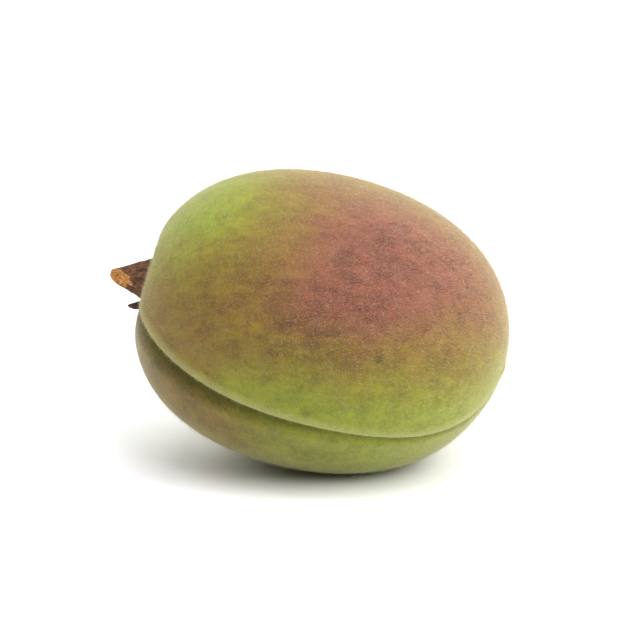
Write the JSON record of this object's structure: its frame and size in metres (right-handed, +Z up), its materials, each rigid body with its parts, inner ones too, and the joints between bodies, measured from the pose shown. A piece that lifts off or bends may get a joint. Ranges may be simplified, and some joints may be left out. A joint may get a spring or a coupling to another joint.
{
  "type": "apricot",
  "caption": "Whole unripe apricot lying on its side, with a seam down one cheek, a stalk cavity and a short woody stalk stub.",
  "frame": {"origin": "middle of the small flat spot that the fruit rests on", "axes": "+Z up, +X along the fruit from the stalk end to the tip, the seam on the -Y side"},
  "size_m": [0.048, 0.0364, 0.0362],
  "materials": {
    "skin": "matt velvety fruit skin with fine down, yellow-green with a dusky red blush",
    "bark": "dry rough bark, paler torn wood at the broken end",
    "husk": "dry papery scale"
  },
  "bodies": {
    "root": {"fruit": "skin", "stalk_stub": "bark", "bud_scale": "husk"}
  },
  "joints": []
}
